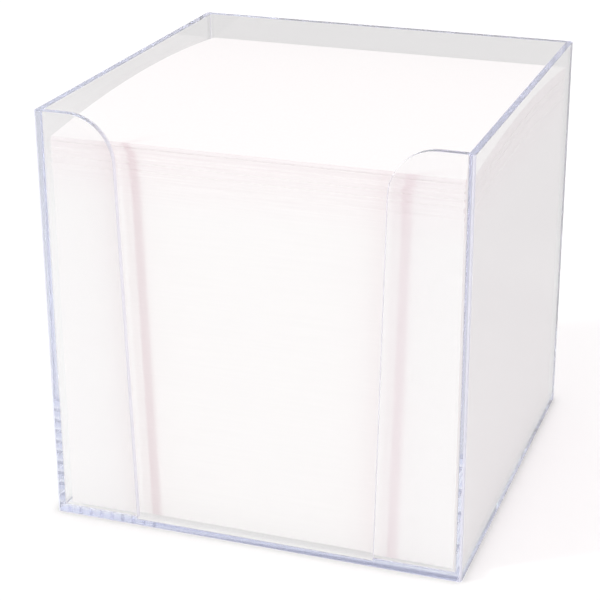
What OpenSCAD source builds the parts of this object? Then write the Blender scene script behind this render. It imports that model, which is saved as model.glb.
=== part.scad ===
// Desk note box: a clear moulded box with a finger slot in its front, filled with loose square sheets.
// Millimetres. X runs to the right along the front, the front faces -Y, and Z is up from the table.
// The box is sized round the sheets: sheet, then the room beside it, then the fillet, then the wall.

/* [Note sheets] */
// Width of a sheet, left to right
sheet_w = 90; // [60:1:150]
// Depth of a sheet, front to back
sheet_d = 90; // [60:1:150]
// Height of the pile at its front and back edges
pile_h = 87.5; // [40:0.5:150]
// How far the middle of the top sheet bows up above its front and back edges
bow_h = 2.4; // [0.6:0.1:3]

/* [Loose top of the pile] */
// Number of groups of sheets at the top that lie a little askew
loose_groups = 14; // [4:1:24]
// Height of one such group at its edges
group_h = 0.9; // [0.5:0.1:1.5]
// Furthest that a group lies off the square pile
stray = 0.3; // [0.1:0.05:0.35]

/* [Moulding] */
// Thickness of the side, back and front walls
wall = 1.5; // [1:0.1:3]
// Thickness of the floor
floor_t = 1.5; // [1:0.1:3]
// Radius of the upright outer corners
outer_r = 0.5; // [0.3:0.1:2]
// Radius of the upright inner corners and of the fillet round the floor
inner_r = 0.3; // [0.2:0.05:1]

/* [Room round the pile] */
// Room between the pile and the floor's fillet, at each side
side_room = 0.7; // [0.4:0.1:4]
// Room between the pile and the fillet behind the front lips
front_room = 1.3; // [0.4:0.1:4]
// Room between the pile and the fillet at the back wall
back_room = 0.1; // [0.1:0.1:3]
// Height of the rim above the pile's front and back edges
rim_rise = 6; // [4:0.5:30]

/* [Front lips] */
// Width of each lip at the rim, measured from the box's side as if its corner were square
lip_top_w = 17.5; // [15:0.5:22]
// Width of each lip at the floor, measured from the box's side
lip_foot_w = 19.8; // [15:0.1:22]
// Radius of each lip's rounded upper corner
lip_corner_r = 10.5; // [3:0.5:12]

/* [Hidden] */
$fn = 96;

// Segments of the shallow arcs that the bowed sheets follow
bow_segments = 1440;
// How far a cutting shape runs past what it cuts
over = 1;
// Turns of the two waves that scatter the loose groups, in degrees a group
scatter_x = 137.5;
scatter_y = 222.5;

inner_w = sheet_w + 2 * (side_room + inner_r);
inner_d = sheet_d + front_room + back_room + 2 * inner_r;
box_w = inner_w + 2 * wall;
box_d = inner_d + 2 * wall;
box_h = floor_t + pile_h + rim_rise;

front_y = -box_d / 2;
pile_front_y = front_y + wall + inner_r + front_room;
pile_mid_y = pile_front_y + sheet_d / 2;
square_h = pile_h - loose_groups * group_h;

// The slot's slanted edge runs from the lip's foot to the rim, at slot_foot_x and slot_top_x
slot_foot_x = box_w / 2 - lip_foot_w;
slot_top_x = box_w / 2 - lip_top_w;
lip_h = box_h - floor_t;
slant = atan2(slot_top_x - slot_foot_x, lip_h);
function slot_x(z) = slot_foot_x + (z - floor_t) * tan(slant);

// Centre of a lip's rounded corner, where the arc is tangent to the rim and to the slanted edge
corner_z = box_h - lip_corner_r;
corner_x = slot_x(corner_z) + lip_corner_r / cos(slant);

// How far a sheet at height h above the floor bows up in its middle, and the radius of that bow
function bow(h) = bow_h * h / pile_h;
function bow_r(h) = (pow(sheet_d / 2, 2) + pow(bow(h), 2)) / (2 * bow(h));

// Where a loose group lies: either way sideways, and only forwards from the back wall
function stray_x(i) = stray * sin(i * scatter_x);
function stray_y(i) = -stray * (1 + sin(i * scatter_y)) / 2;

// Rectangle with rounded corners, centred on the origin
module rounded_rectangle(w, d, r) {
    square([w - 2 * r, d], center = true);
    square([w, d - 2 * r], center = true);
    for (sx = [-1, 1], sy = [-1, 1])
        translate([sx * (w / 2 - r), sy * (d / 2 - r)]) circle(r = r);
}

// The mould's core: a block with its upright and its lower edges rounded alike
module core(w, d, h, r) {
    translate([0, 0, r]) linear_extrude(height = h - r) rounded_rectangle(w, d, r);
    translate([0, 0, h / 2]) cube([w - 2 * r, d - 2 * r, h], center = true);
    for (side = [-1, 1]) {
        translate([0, side * (d / 2 - r), r]) rotate([0, 90, 0])
            cylinder(r = r, h = w - 2 * r, center = true);
        translate([side * (w / 2 - r), 0, r]) rotate([90, 0, 0])
            cylinder(r = r, h = d - 2 * r, center = true);
        for (end = [-1, 1])
            translate([side * (w / 2 - r), end * (d / 2 - r), r]) sphere(r = r);
    }
}

// What is cut away above one lip's rounded corner, drawn in X and Z
module corner_waste() {
    top_z = box_h + over;
    touch_x = corner_x - lip_corner_r * cos(slant);
    touch_z = corner_z + lip_corner_r * sin(slant);
    difference() {
        polygon([
            [-over, touch_z],
            [touch_x, touch_z],
            [corner_x, corner_z],
            [corner_x, top_z],
            [-over, top_z]
        ]);
        translate([corner_x, corner_z]) circle(r = lip_corner_r);
    }
}

// The slot's outline in X and Z, from the floor's top face to past the rim
module slot_outline() {
    top_z = box_h + over;
    polygon([
        [-slot_foot_x, floor_t],
        [slot_foot_x, floor_t],
        [slot_x(top_z), top_z],
        [-slot_x(top_z), top_z]
    ]);
    corner_waste();
    mirror([1, 0]) corner_waste();
}

module clear_box() {
    color("lavender", 0.4)
    difference() {
        linear_extrude(height = box_h) rounded_rectangle(box_w, box_d, outer_r);
        translate([0, 0, floor_t]) core(inner_w, inner_d, lip_h + over, inner_r);
        translate([0, front_y + wall + inner_r, 0]) rotate([90, 0, 0])
            linear_extrude(height = wall + inner_r + over) slot_outline();
    }
}

// Everything under the bowed sheet that lies at height h above the floor, as wide as w
module under_sheet(h, w) {
    translate([-w / 2, pile_mid_y, floor_t]) rotate([90, 0, 90])
        linear_extrude(height = w)
            intersection() {
                translate([0, h + bow(h) - bow_r(h)]) circle(r = bow_r(h), $fn = bow_segments);
                translate([-sheet_d, -over]) square([2 * sheet_d, h + bow(h) + 2 * over]);
            }
}

// One group of sheets from height h0 to h1, lying off the square pile by dx and dy
module sheet_group(h0, h1, dx, dy) {
    difference() {
        intersection() {
            translate([dx - sheet_w / 2, pile_front_y + dy, floor_t])
                cube([sheet_w, sheet_d, h1 + bow_h]);
            under_sheet(h1, 2 * sheet_w);
        }
        if (h0 > 0) under_sheet(h0, 3 * sheet_w);
    }
}

module note_stack() {
    color("white") {
        sheet_group(0, square_h, 0, 0);
        for (i = [0:loose_groups - 1])
            sheet_group(square_h + i * group_h, square_h + (i + 1) * group_h, stray_x(i), stray_y(i));
    }
}

clear_box();
note_stack();
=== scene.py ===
import math

import bmesh
import bpy
import numpy as np
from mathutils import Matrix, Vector


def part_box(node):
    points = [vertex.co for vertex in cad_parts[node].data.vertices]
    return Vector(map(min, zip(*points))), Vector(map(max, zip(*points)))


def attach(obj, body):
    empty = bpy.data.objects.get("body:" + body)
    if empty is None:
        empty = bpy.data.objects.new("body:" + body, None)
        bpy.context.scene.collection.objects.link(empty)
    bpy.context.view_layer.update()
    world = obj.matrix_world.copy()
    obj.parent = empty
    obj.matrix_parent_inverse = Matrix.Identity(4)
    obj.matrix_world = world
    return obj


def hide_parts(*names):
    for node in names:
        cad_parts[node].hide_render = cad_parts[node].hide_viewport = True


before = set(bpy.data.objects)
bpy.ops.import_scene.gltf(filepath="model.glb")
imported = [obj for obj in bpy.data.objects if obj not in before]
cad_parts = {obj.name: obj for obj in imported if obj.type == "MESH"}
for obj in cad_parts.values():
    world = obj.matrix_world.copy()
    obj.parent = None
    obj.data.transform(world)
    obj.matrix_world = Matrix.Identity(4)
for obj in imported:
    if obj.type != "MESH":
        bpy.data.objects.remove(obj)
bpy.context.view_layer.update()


# The clear box: one injection moulding in clear polystyrene, walls and floor 1.5 mm thick. Its
# faces are polished by the mould. The rim and the foot's edges are a little satin, and the lips'
# ends, where the mould's halves shut off on each other, are dull.
MM = 0.001
RIM_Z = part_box("clear_box")[1].z
FRONT_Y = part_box("clear_box")[0].y
HALF_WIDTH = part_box("clear_box")[1].x
WALL = 1.5 * MM
OUTER_RADIUS = 0.5 * MM
SLOT_FROM_SIDE = 10 * MM

# The sharp edges' rounding, and what counts as a sharp edge, as flat and as one point
EDGE_ROUNDING = 0.08 * MM
ROUNDING_STEPS = 3
SHARP_EDGE = math.radians(50)
FLAT_ENOUGH = math.radians(0.2)
WELD = 0.002 * MM

# The top of the foot's edges, and the band just above it that holds the fillet round the floor
FOOT_EDGE = 1.4 * MM
FILLET_BAND = 0.5 * MM
SHORT_EDGE = 0.1 * MM

# How a face lies, by a part of its normal: looking down, tilted, nearly level, looking sideways
STRAIGHT_DOWN = -0.98
SLANTED = 0.05
NEARLY_LEVEL = 0.99
SIDEWAYS_FROM = 1 / 3

# What the lips' ends and the foot let through, and how dull or rough each kind of face is
LEFT_LIP_SHADE = "#A04864"
RIGHT_LIP_SHADE = "#C08498"
FOOT_SHADE = "#606060"
DULL_END = 0.8
DULL_CORNER = 0.7
DULL_FILLET = 0.5
RIM_ROUGHNESS = 0.15
FOOT_ROUGHNESS = 0.05

# The plastic: the painted blue-grey shade that darkens its rims and foot edges, the blue of a long
# path and how dense it is per metre, its dust, the waves where it flowed and the grain of its polish
RIM_AND_FOOT_PAINTED_SHADE = "#E2E4F6"
LONG_PATH_BLUE = "#89A2EA"
LONG_PATH_DENSITY = 2.7
DUST_WHITE = "#F4F4FC"
DUST_SHARE = 0.006
FLOW_LENGTH = 18 * MM
FLOW_HEIGHT = 0.02 * MM
FLOW_STRENGTH = 0.05
POLISH_GRAIN = 1.2 * MM
POLISH_ROUGHNESS = 0.01

# Bounces after which light that is trapped between the faces turns to haze
TRAPPED_FROM = 30.0
TRAPPED_BY = 60.0

# The two colour sockets of a colour mix
COLOUR_A, COLOUR_B = 6, 7


def linear(code):
    """A hex sRGB colour as Blender's linear colour."""
    parts = [int(code[i:i + 2], 16) / 255 for i in (1, 3, 5)]
    return [c / 12.92 if c <= 0.04045 else ((c + 0.055) / 1.055) ** 2.4 for c in parts] + [1.0]


def empty_tree(owner):
    """Switches on the shader nodes of a material or world, and takes out what they start with."""
    owner.use_nodes = True
    owner.node_tree.nodes.clear()
    return owner.node_tree


def node(tree, kind, sockets=None, **settings):
    """Adds a shader node, with its settings, and each socket's value or link."""
    made = tree.nodes.new("ShaderNode" + kind)
    for name, value in settings.items():
        setattr(made, name, value)
    for name, value in (sockets or {}).items():
        if isinstance(value, bpy.types.NodeSocket):
            tree.links.new(value, made.inputs[name])
        else:
            made.inputs[name].default_value = value
    return made


def moulded_box():
    """The CAD box's own form, with its sharp outward edges rounded as a mould leaves them. The
    fine edges where the core's fillet runs out under the lips are too short to round. A cut at
    FOOT_EDGE parts the foot from the walls, so that each takes its own share of light."""
    shape = bmesh.new()
    shape.from_mesh(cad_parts["clear_box"].data)
    bmesh.ops.remove_doubles(shape, verts=shape.verts, dist=WELD)
    bmesh.ops.dissolve_limit(shape, angle_limit=FLAT_ENOUGH, verts=shape.verts, edges=shape.edges)
    in_fillet = [e for e in shape.edges if e.calc_length() < SHORT_EDGE
                 and all(FOOT_EDGE < v.co.z < FOOT_EDGE + FILLET_BAND for v in e.verts)]
    sharp = [e for e in shape.edges if e.calc_face_angle_signed() > SHARP_EDGE and e not in in_fillet]
    bmesh.ops.bevel(shape, geom=sharp, offset=EDGE_ROUNDING, offset_type="OFFSET",
                    segments=ROUNDING_STEPS, profile=0.5, affect="EDGES", clamp_overlap=False,
                    material=-1)
    everything = shape.verts[:] + shape.edges[:] + shape.faces[:]
    bmesh.ops.bisect_plane(shape, geom=everything, plane_co=(0, 0, FOOT_EDGE), plane_no=(0, 0, 1),
                           dist=WELD)
    bmesh.ops.recalc_face_normals(shape, faces=shape.faces)
    mesh = bpy.data.meshes.new("moulded_box")
    shape.to_mesh(mesh)
    shape.free()
    return mesh


def moulded_polystyrene():
    """Clear injection-moulded polystyrene: bright and glassy, with a faint waviness where it flowed
    in the mould, a trace of dust, and a lavender blue that only a long path through the plastic
    brings out. Light for the paper inside passes straight through, less what a face's let_through
    colour takes. That colour's alpha marks rims and foot edges: they have no waviness, a painted
    blue-grey shade darkens them, and they dim only light that comes from outside. A face's satin
    value roughens it. Its dull value, and light trapped between the faces, show as white haze."""
    material = bpy.data.materials.new("moulded_polystyrene")
    tree = empty_tree(material)
    place = node(tree, "TexCoord").outputs["Object"]
    flow = node(tree, "TexNoise", {"Vector": place, "Scale": 1 / FLOW_LENGTH, "Detail": 2.0,
                                   "Roughness": 0.4})
    grain = node(tree, "TexNoise", {"Vector": place, "Scale": 1 / POLISH_GRAIN, "Detail": 4.0})
    polish = node(tree, "MapRange", {"Value": grain.outputs["Fac"], "From Min": 0.35, "From Max": 0.75,
                                     "To Min": 0.0, "To Max": POLISH_ROUGHNESS})
    let_through = node(tree, "Attribute", attribute_name="let_through")
    waviness = node(tree, "MapRange", {"Value": let_through.outputs["Alpha"], "To Min": FLOW_STRENGTH,
                                       "To Max": 0.0})
    wave = node(tree, "Bump", {"Height": flow.outputs["Fac"], "Strength": waviness.outputs["Result"],
                               "Distance": FLOW_HEIGHT})
    satin = node(tree, "Attribute", attribute_name="satin")
    roughness = node(tree, "Math", {0: satin.outputs["Fac"], 1: polish.outputs["Result"]},
                     operation="ADD")
    # Painted shade: a blue-grey tint that darkens the rims and foot edges, where alpha is 1.
    edge = node(tree, "Mix", {0: let_through.outputs["Alpha"], COLOUR_A: linear("#FFFFFF"),
                              COLOUR_B: linear(RIM_AND_FOOT_PAINTED_SHADE)}, data_type="RGBA")
    plastic = node(tree, "BsdfPrincipled", {
        "Base Color": edge.outputs[2], "Roughness": roughness.outputs[0], "IOR": 1.59,
        "Transmission Weight": 1.0, "Normal": wave.outputs["Normal"]})
    outward = node(tree, "Math", {0: node(tree, "NewGeometry").outputs["Backfacing"],
                                  1: let_through.outputs["Alpha"]}, operation="MULTIPLY")
    dimmed = node(tree, "Mix", {0: outward.outputs[0], COLOUR_A: let_through.outputs["Color"],
                                COLOUR_B: linear("#FFFFFF")}, data_type="RGBA")
    passing = node(tree, "BsdfTransparent", {"Color": dimmed.outputs[2]})
    dust = node(tree, "BsdfDiffuse", {"Color": linear(DUST_WHITE), "Roughness": 0.5})
    path = node(tree, "LightPath")
    trapped = node(tree, "MapRange", {"Value": path.outputs["Ray Depth"], "From Min": TRAPPED_FROM,
                                      "From Max": TRAPPED_BY, "To Min": DUST_SHARE, "To Max": 1.0})
    dull = node(tree, "Attribute", attribute_name="dull")
    haziness = node(tree, "Math", {0: trapped.outputs["Result"], 1: dull.outputs["Fac"]},
                    operation="MAXIMUM")
    hazed = node(tree, "MixShader", {0: haziness.outputs[0], 1: plastic.outputs[0], 2: dust.outputs[0]})
    soft_light = node(tree, "Math", {0: path.outputs["Is Shadow Ray"], 1: path.outputs["Is Diffuse Ray"]},
                      operation="MAXIMUM")
    mixed = node(tree, "MixShader", {0: soft_light.outputs[0], 1: hazed.outputs[0],
                                     2: passing.outputs[0]})
    tint = node(tree, "VolumeAbsorption", {"Color": linear(LONG_PATH_BLUE), "Density": LONG_PATH_DENSITY})
    node(tree, "OutputMaterial", {"Surface": mixed.outputs[0], "Volume": tint.outputs[0]})
    return material


def finish_of(face):
    """What a face of the box lets through, with an alpha of 1 on rims and foot edges, which also lays
    the painted blue-grey shade on them, how dull it is and how rough. A lip's rounded edge turns by
    steps from the bright front to its dull end."""
    middle, facing = face.center, face.normal
    shade = linear(LEFT_LIP_SHADE if middle.x < 0 else RIGHT_LIP_SHADE)
    turned, edge, dull, satin = 0.0, 0.0, 0.0, 0.0
    if middle.z < FOOT_EDGE and facing.z > STRAIGHT_DOWN:
        shade = linear(FOOT_SHADE)
        turned, edge, satin = 1.0, 1.0, FOOT_ROUGHNESS
    elif middle.z > RIM_Z - EDGE_ROUNDING:
        edge, satin = 1.0, RIM_ROUGHNESS
    elif middle.y < FRONT_Y + WALL and abs(middle.x) < HALF_WIDTH - SLOT_FROM_SIDE:
        turned = max(0.0, (abs(facing.x) - SIDEWAYS_FROM) / (1 - SIDEWAYS_FROM))
        dull = DULL_END * turned
    if FOOT_EDGE < middle.z < FOOT_EDGE + FILLET_BAND and SLANTED < facing.z < NEARLY_LEVEL:
        dull = DULL_FILLET
    at_corner = min(abs(middle.x), abs(middle.y)) > HALF_WIDTH - OUTER_RADIUS
    if at_corner and min(abs(facing.x), abs(facing.y)) > SLANTED:
        dull = DULL_CORNER
    return [1 + turned * (c - 1) for c in shade[:3]] + [edge], dull, satin


clear_box = bpy.data.objects.new("clear_moulded_box", moulded_box())
bpy.context.scene.collection.objects.link(clear_box)
clear_box.data.materials.append(moulded_polystyrene())
for name, kind in (("let_through", "FLOAT_COLOR"), ("dull", "FLOAT"), ("satin", "FLOAT")):
    clear_box.data.attributes.new(name, kind, "FACE")
marks = clear_box.data.attributes
for face in clear_box.data.polygons:
    let_through, dull, satin = finish_of(face)
    marks["let_through"].data[face.index].color = let_through
    marks["dull"].data[face.index].value = dull
    marks["satin"].data[face.index].value = satin
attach(clear_box, "root")
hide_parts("clear_box")


# The note stack: a pile of loose 90 mm square sheets of white note paper, guillotined together
# and dropped in from above. They bow up along their middle, most at the top, and the upper ones
# lie a little askew, which shows as fine lines along the pile's front.
SHEET = 90 * MM
PILE_FOOT = 1.5 * MM
PILE_HEIGHT = 87.5 * MM
PILE_MIDDLE_Y = 0.6 * MM
PILE_BOW = 2.4 * MM
BOW_STEPS = 24
FOOT_LIFT = 0.02 * MM
FACE_UP = 0.7

# A layer is a few sheets, and the first that comes near enough to the top ends there
THINNEST_LAYER = 0.2 * MM
THICKEST_LAYER = 0.55 * MM
NEAR_TOP = 0.5 * MM

# The seed of the layers' scatter, the height they lie loose from, how far settled and loose ones
# lie off the square pile, how fast that grows, and what part of it goes forwards
SCATTER_SEED = 90
LOOSE_FROM = 74.9 * MM
LEAST_STRAY = 0.02 * MM
LOOSE_STRAY = 0.24 * MM
STRAY_GROWTH = 1.6
STRAY_FORWARD = 0.6

# The paper's patterns, its tones from low to high, the pinker, darker painted shade between the
# loose sheets near the top, and where the cut edges begin to lie loose
FIBRE = 0.6 * MM
SHEET_LINES = 0.45 * MM
LINE_SQUEEZE = 0.02
RELIEF = 0.03 * MM
FACE_TONES = "#F9F7F7", "#FCFAFA"
CUT_EDGE_TONES = "#F6F4F4", "#F8F6F6"
LOOSE_EDGE_PAINTED_SHADE_TONES = "#F3EBED", "#FAF5F6"
SETTLED_BELOW = 74 * MM


def pile_of_sheets():
    """One closed mesh: thin layers of a few sheets each, every one slid a little off the next.
    They slide to either side, but only forwards from the back wall."""
    draw = np.random.default_rng(SCATTER_SEED)
    heights = [0.0]
    while heights[-1] < PILE_HEIGHT - NEAR_TOP:
        heights.append(heights[-1] + draw.uniform(THINNEST_LAYER, THICKEST_LAYER))
    heights[-1] = PILE_HEIGHT
    down = np.linspace(-0.5, 0.5, BOW_STEPS + 1)
    outline = [(-0.5, d) for d in down[::-1]] + [(0.5, d) for d in down]
    verts, faces = [], []
    size = len(outline)

    def ring(height, slide_x, slide_y):
        for u, v in outline:
            x, y = u * SHEET + slide_x, PILE_MIDDLE_Y + v * SHEET + slide_y
            off_middle = min(1, abs(2 * (y - PILE_MIDDLE_Y) / SHEET))
            rise = PILE_BOW * height / PILE_HEIGHT * (1 - off_middle ** 2)
            verts.append((x, y, PILE_FOOT + max(height, FOOT_LIFT) + rise))

    for k in range(len(heights) - 1):
        loose = max(0.0, (heights[k] - LOOSE_FROM) / (PILE_HEIGHT - LOOSE_FROM))
        reach = LEAST_STRAY + (LOOSE_STRAY - LEAST_STRAY) * min(1.0, loose * STRAY_GROWTH)
        slide_x = reach * draw.uniform(-1, 1)
        forwards = 1 + draw.uniform(-1, 1) if loose else -draw.uniform(-1, 0)
        slide_y = -STRAY_FORWARD * reach * forwards
        ring(heights[k], slide_x, slide_y)
        ring(heights[k + 1], slide_x, slide_y)
    for k in range(len(verts) // size - 1):
        for i in range(size):
            j = (i + 1) % size
            faces.append((k * size + i, k * size + j, (k + 1) * size + j, (k + 1) * size + i))
    top = len(verts) - size
    for base, flip in ((0, True), (top, False)):
        for i in range(BOW_STEPS):
            quad = (base + i, base + i + 1, base + size - 2 - i, base + size - 1 - i)
            faces.append(quad[::-1] if flip else quad)
    mesh = bpy.data.meshes.new("pile_of_sheets")
    mesh.from_pydata(verts, [], faces)
    shape = bmesh.new()
    shape.from_mesh(mesh)
    bmesh.ops.recalc_face_normals(shape, faces=shape.faces)
    shape.to_mesh(mesh)
    shape.free()
    return mesh


def note_paper(name, cut_edges):
    """Uncoated white writing paper: matt, with a soft fibre mottle on its face, and along the cut
    edges the fine lines of the sheets. Near the top, where the sheets lie loose, the cut edges get a
    pinker, darker painted shade between the sheets. A line is drawn as wide as a few sheets,
    because one sheet is too fine to show."""
    material = bpy.data.materials.new(name)
    tree = empty_tree(material)
    place = node(tree, "TexCoord").outputs["Object"]
    if cut_edges:
        squeeze = node(tree, "Mapping", {"Vector": place, "Scale": (LINE_SQUEEZE, LINE_SQUEEZE, 1.0)})
        pattern = node(tree, "TexNoise", {"Vector": squeeze.outputs[0], "Scale": 1 / SHEET_LINES,
                                          "Detail": 3.0, "Roughness": 0.7})
        low, high = CUT_EDGE_TONES
    else:
        pattern = node(tree, "TexNoise", {"Vector": place, "Scale": 1 / FIBRE, "Detail": 5.0,
                                          "Roughness": 0.65})
        low, high = FACE_TONES
    relief = pattern.outputs["Fac"]
    blend = node(tree, "MapRange", {"Value": relief, "From Min": 0.3, "From Max": 0.7}).outputs["Result"]
    tone = node(tree, "Mix", {0: blend, COLOUR_A: linear(low), COLOUR_B: linear(high)},
                data_type="RGBA").outputs[2]
    if cut_edges:
        # Painted shade: the cut edges turn pinker and darker towards the top of the pile.
        low, high = LOOSE_EDGE_PAINTED_SHADE_TONES
        loose = node(tree, "Mix", {0: blend, COLOUR_A: linear(low), COLOUR_B: linear(high)},
                     data_type="RGBA")
        upward = node(tree, "SeparateXYZ", {0: place})
        painted_shade_higher = node(tree, "MapRange", {"Value": upward.outputs["Z"], "From Min": SETTLED_BELOW,
                                         "From Max": PILE_FOOT + PILE_HEIGHT})
        tone = node(tree, "Mix", {0: painted_shade_higher.outputs["Result"], COLOUR_A: tone,
                                  COLOUR_B: loose.outputs[2]}, data_type="RGBA").outputs[2]
    bump = node(tree, "Bump", {"Height": relief, "Strength": 0.12, "Distance": RELIEF})
    paper = node(tree, "BsdfPrincipled", {"Base Color": tone, "Roughness": 0.85, "IOR": 1.47,
                                          "Specular IOR Level": 0.3, "Normal": bump.outputs["Normal"]})
    node(tree, "OutputMaterial", {"Surface": paper.outputs[0]})
    return material


stack = bpy.data.objects.new("loose_note_sheets", pile_of_sheets())
bpy.context.scene.collection.objects.link(stack)
stack.data.materials.append(note_paper("note_paper_face", False))
stack.data.materials.append(note_paper("note_paper_cut_edges", True))
for face in stack.data.polygons:
    face.material_index = 0 if abs(face.normal.z) > FACE_UP else 1
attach(stack, "root")
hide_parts("note_stack")


# The studio floor: a plain sweep of matt off-white paper, lifted a little for the camera, which
# sees it as white round the box's soft shadow. In or through the plastic it looks darker and has a
# painted glow, a pool of painted light strongest to the left of the box, as a lit sweep shows in a
# dark room.
FLOOR_SIZE = 6.0
FLOOR_DROP = 0.1 * MM
FLOOR_WHITE = "#F6F6F6"
FLOOR_IN_PLASTIC = "#9C9B9B"
LIFT_FOR_CAMERA = 0.11
GLOW_MIDDLE = (-160 * MM, 0.0, 0.0)
GLOW_NEAR, GLOW_FAR = 0.60, 0.41
GLOW_FALLS_FROM, GLOW_FALLS_TO = 120 * MM, 300 * MM


def seen_by(tree):
    """Whether a ray comes straight from the camera, and whether the plastic reflected or bent it."""
    path = node(tree, "LightPath")
    in_plastic = node(tree, "Math", {0: path.outputs["Is Glossy Ray"],
                                     1: path.outputs["Is Transmission Ray"]}, operation="MAXIMUM")
    return path.outputs["Is Camera Ray"], in_plastic.outputs[0]


floor_mesh = bpy.data.meshes.new("studio_floor")
half = FLOOR_SIZE / 2
corners = [(x, y, -FLOOR_DROP) for x, y in ((-half, -half), (half, -half), (half, half), (-half, half))]
floor_mesh.from_pydata(corners, [], [(0, 1, 2, 3)])
floor = bpy.data.objects.new("studio_floor", floor_mesh)
bpy.context.scene.collection.objects.link(floor)
paint = bpy.data.materials.new("matt_studio_paper")
tree = empty_tree(paint)
by_camera, in_plastic = seen_by(tree)
tone = node(tree, "Mix", {0: in_plastic, COLOUR_A: linear(FLOOR_WHITE),
                          COLOUR_B: linear(FLOOR_IN_PLASTIC)}, data_type="RGBA")
# Painted light: an emitted glow on the floor, seen only in the plastic, brightest left of the box.
away = node(tree, "VectorMath", {0: node(tree, "TexCoord").outputs["Object"], 1: GLOW_MIDDLE},
            operation="DISTANCE")
glow = node(tree, "MapRange", {"Value": away.outputs["Value"], "From Min": GLOW_FALLS_FROM,
                               "From Max": GLOW_FALLS_TO, "To Min": GLOW_NEAR, "To Max": GLOW_FAR})
glow = node(tree, "Math", {0: in_plastic, 1: glow.outputs["Result"]}, operation="MULTIPLY")
glow = node(tree, "Math", {0: by_camera, 1: LIFT_FOR_CAMERA, 2: glow.outputs[0]},
            operation="MULTIPLY_ADD")
sweep = node(tree, "BsdfDiffuse", {"Color": tone.outputs[2], "Roughness": 0.5})
glowing = node(tree, "Emission", {"Color": linear("#FFFFFF"), "Strength": glow.outputs[0]})
both = node(tree, "AddShader", {0: sweep.outputs[0], 1: glowing.outputs[0]})
node(tree, "OutputMaterial", {"Surface": both.outputs[0]})
floor_mesh.materials.append(paint)


# The studio's light: a pale sky, stronger from above, weaker from the left and a little pinker
# from the right. The camera sees it white, and the plastic shows it greyer near the floor. One
# narrow soft lamp, low on the left, throws the shadows of the lips' ends on the paper.
SKY_LOW = 0.785
SKY_HIGH = 1.165
SKY_TO_LEFT = 0.30
SKY_LEFT_TINT = "#FFFEFE"
SKY_RIGHT_TINT = "#FFF6F9"
HAZE_LEVEL = 0.74
HAZE_ENDS_AT = 0.5
LAMP_LEVEL = 0.32 * math.pi
LAMP_AZIMUTH = math.radians(-57)
LAMP_ELEVATION = math.radians(15)
LAMP_WIDTH = math.radians(8)
LAMP_TINT = "#F4FFFA"

# The two number sockets of a mix of numbers
NUMBER_A, NUMBER_B = 2, 3


def direction(azimuth, elevation):
    """Where something stands as seen from the box: azimuth 0 is in front, and right is positive."""
    return Vector((math.sin(azimuth) * math.cos(elevation), -math.cos(azimuth) * math.cos(elevation),
                   math.sin(elevation)))


world = bpy.data.worlds.new("pale_studio")
bpy.context.scene.world = world
tree = empty_tree(world)
by_camera, in_plastic = seen_by(tree)
way = node(tree, "SeparateXYZ", {0: node(tree, "TexCoord").outputs["Generated"]})
dome = node(tree, "MapRange", {"Value": way.outputs["Z"], "To Min": SKY_LOW, "To Max": SKY_HIGH})
leftward = node(tree, "Math", {0: way.outputs["X"], 1: 0.0}, operation="MINIMUM")
light = node(tree, "Math", {0: leftward.outputs[0], 1: SKY_TO_LEFT, 2: dome.outputs["Result"]},
             operation="MULTIPLY_ADD")
seen = node(tree, "Math", {0: by_camera, 1: in_plastic}, operation="MAXIMUM").outputs[0]
haze = node(tree, "MapRange", {"Value": way.outputs["Z"], "From Max": HAZE_ENDS_AT,
                               "To Min": HAZE_LEVEL, "To Max": 1.0})
backdrop = node(tree, "Mix", {0: in_plastic, NUMBER_A: 1.0, NUMBER_B: haze.outputs["Result"]},
                data_type="FLOAT")
level = node(tree, "Mix", {0: seen, NUMBER_A: light.outputs[0], NUMBER_B: backdrop.outputs[0]},
             data_type="FLOAT")
side = node(tree, "MapRange", {"Value": way.outputs["X"]})
warmth = node(tree, "Mix", {0: side.outputs["Result"], COLOUR_A: linear(SKY_LEFT_TINT),
                            COLOUR_B: linear(SKY_RIGHT_TINT)}, data_type="RGBA")
tint = node(tree, "Mix", {0: seen, COLOUR_A: warmth.outputs[2], COLOUR_B: linear("#FFFFFF")},
            data_type="RGBA")
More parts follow.
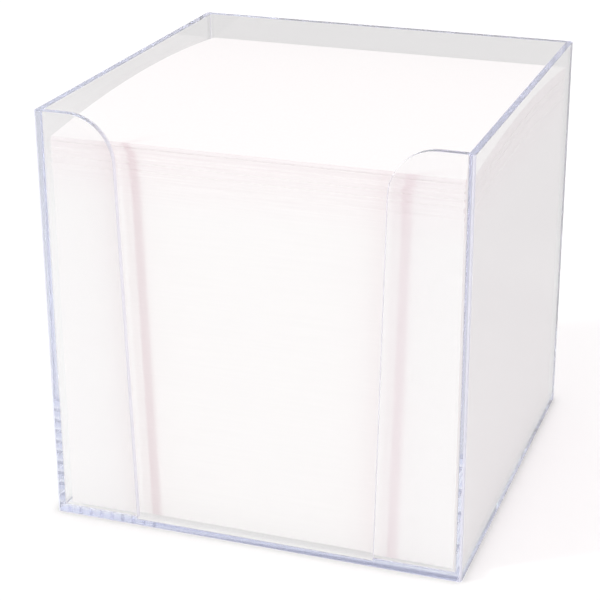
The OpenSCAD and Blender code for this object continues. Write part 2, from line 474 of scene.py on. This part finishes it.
sky = node(tree, "Background", {"Color": tint.outputs[2], "Strength": level.outputs[0]})
node(tree, "OutputWorld", {"Surface": sky.outputs[0]})

lamp = bpy.data.lights.new("soft_lamp", "SUN")
lamp.energy = LAMP_LEVEL
lamp.angle = LAMP_WIDTH
lamp.color = linear(LAMP_TINT)[:3]
lamp_object = bpy.data.objects.new("soft_lamp", lamp)
lamp_object.rotation_euler = direction(LAMP_AZIMUTH, LAMP_ELEVATION).to_track_quat("Z", "Y").to_euler()
bpy.context.scene.collection.objects.link(lamp_object)


# The camera, at the photograph's angle: a long lens to the right of the front, 10 cm above the
# rim. Its small shift frames the box as the photograph does.
AZIMUTH = math.radians(18.95)
ELEVATION = math.radians(21.52)
DISTANCE = 405.9 * MM
AIM_HEIGHT = 45 * MM
ASIDE = -0.02 * MM
RAISED = 2.34 * MM
SENSOR_WIDTH = 36
FOCAL_LENGTH = 103.56
SHIFT_X = -0.0369
SHIFT_Y = -0.0500
NEAREST_SEEN = 10 * MM

# Bounces for light that runs along a wall, and for light that passes straight through walls
GLASS_BOUNCES = 64
STRAIGHT_PASSES = 24

back = direction(AZIMUTH, ELEVATION)
right = Vector((0, 0, 1)).cross(back).normalized()
up = back.cross(right)
lens = bpy.data.cameras.new("camera")
lens.sensor_width = SENSOR_WIDTH
lens.lens = FOCAL_LENGTH
lens.shift_x = SHIFT_X
lens.shift_y = SHIFT_Y
lens.clip_start = NEAREST_SEEN
camera = bpy.data.objects.new("camera", lens)
camera.location = Vector((0, 0, AIM_HEIGHT)) + back * DISTANCE + right * ASIDE + up * RAISED
camera.rotation_mode = "QUATERNION"
camera.rotation_quaternion = back.to_track_quat("Z", "Y")
bpy.context.scene.collection.objects.link(camera)
bpy.context.scene.camera = camera

scene = bpy.context.scene
scene.view_settings.view_transform = "Standard"
scene.cycles.max_bounces = GLASS_BOUNCES
scene.cycles.transmission_bounces = GLASS_BOUNCES
scene.cycles.glossy_bounces = GLASS_BOUNCES
scene.cycles.transparent_max_bounces = STRAIGHT_PASSES
